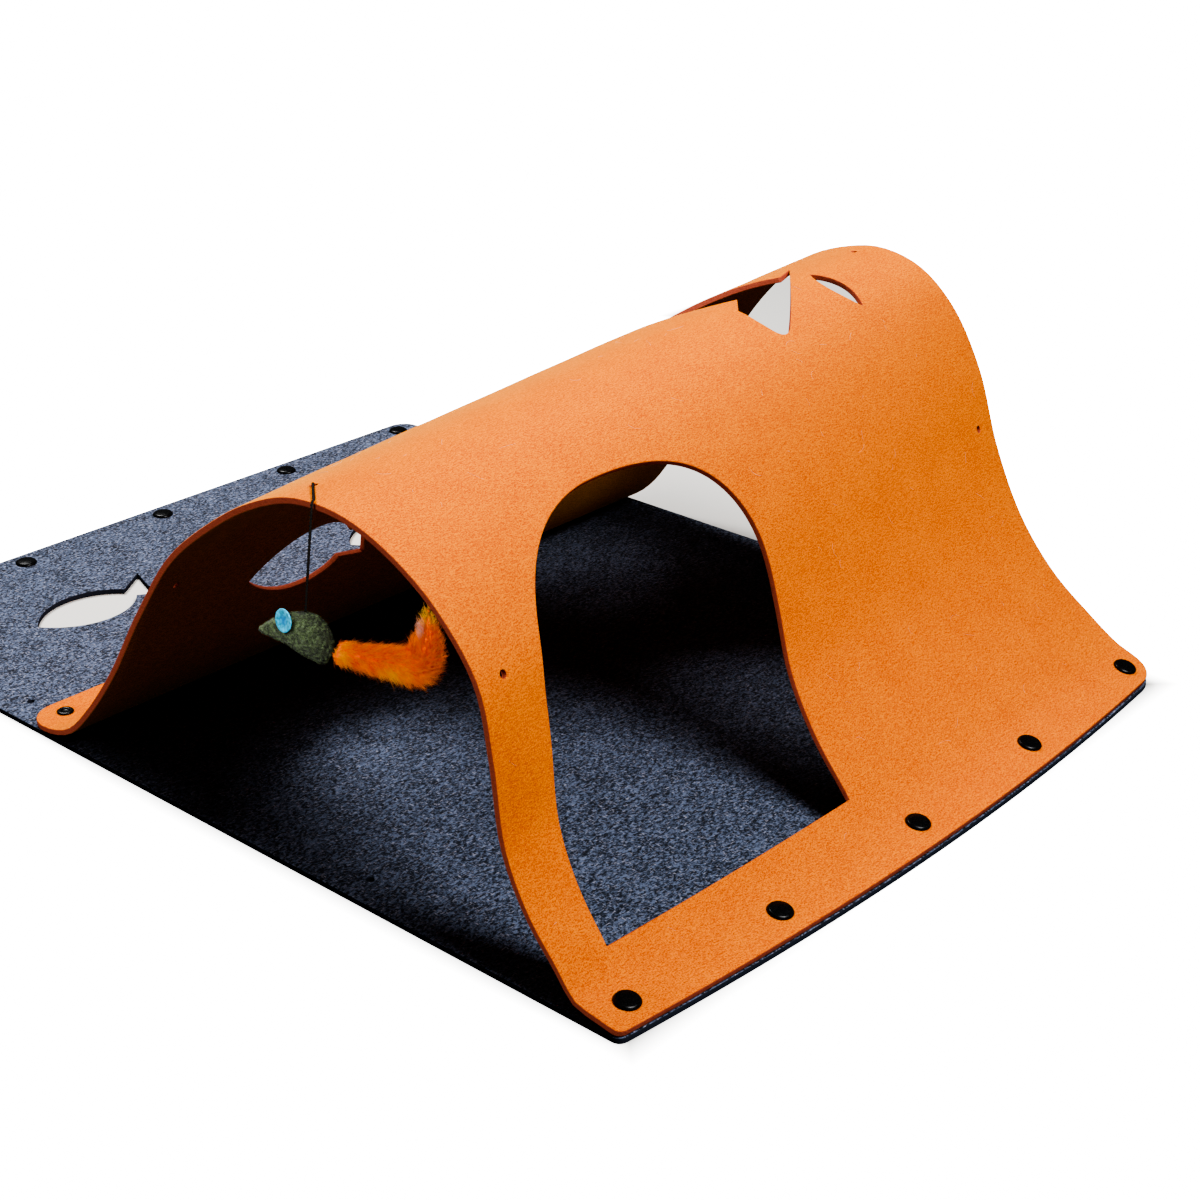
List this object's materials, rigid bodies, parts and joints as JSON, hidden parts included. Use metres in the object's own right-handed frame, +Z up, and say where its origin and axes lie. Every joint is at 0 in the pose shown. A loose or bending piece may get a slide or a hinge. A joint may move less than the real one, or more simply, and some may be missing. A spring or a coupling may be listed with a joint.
{
  "type": "felt cat tunnel",
  "caption": "Flat felt play mat with a second felt panel snapped on as an open arched tunnel, cut with a door and fish shapes, with a furry toy hanging in its mouth.",
  "frame": {"origin": "centre of the mat's bounding box, on the floor", "axes": "+X along the tunnel from the toy's mouth to the far mouth, +Y across it from the door side to the rear, +Z up"},
  "size_m": [0.6774, 0.878, 0.2985],
  "materials": {
    "felt_orange": "matte pressed felt",
    "felt_navy": "matte heather felt",
    "snap_black": "gloss",
    "cord_black": "matte twisted thread",
    "plush_olive": "short pile",
    "felt_cyan": "matte felt",
    "fur_orange": "long soft fur"
  },
  "bodies": {
    "root": {"base_mat": "felt_navy", "tunnel_sheet": "felt_orange", "front_snap_1": "snap_black", "front_snap_2": "snap_black", "front_snap_3": "snap_black", "front_snap_4": "snap_black", "front_snap_5": "snap_black", "rear_snap_1": "snap_black", "rear_snap_2": "snap_black", "rear_snap_3": "snap_black", "rear_snap_4": "snap_black", "rear_snap_5": "snap_black", "mat_snap_1": "snap_black", "mat_snap_2": "snap_black", "mat_snap_3": "snap_black", "mat_snap_4": "snap_black", "mat_snap_5": "snap_black", "toy_cord": "cord_black", "cord_knot": "cord_black", "mouse_body": "plush_olive", "mouse_tail": "fur_orange", "mouse_ear_left": "felt_cyan", "mouse_ear_right": "felt_cyan"}
  },
  "joints": []
}
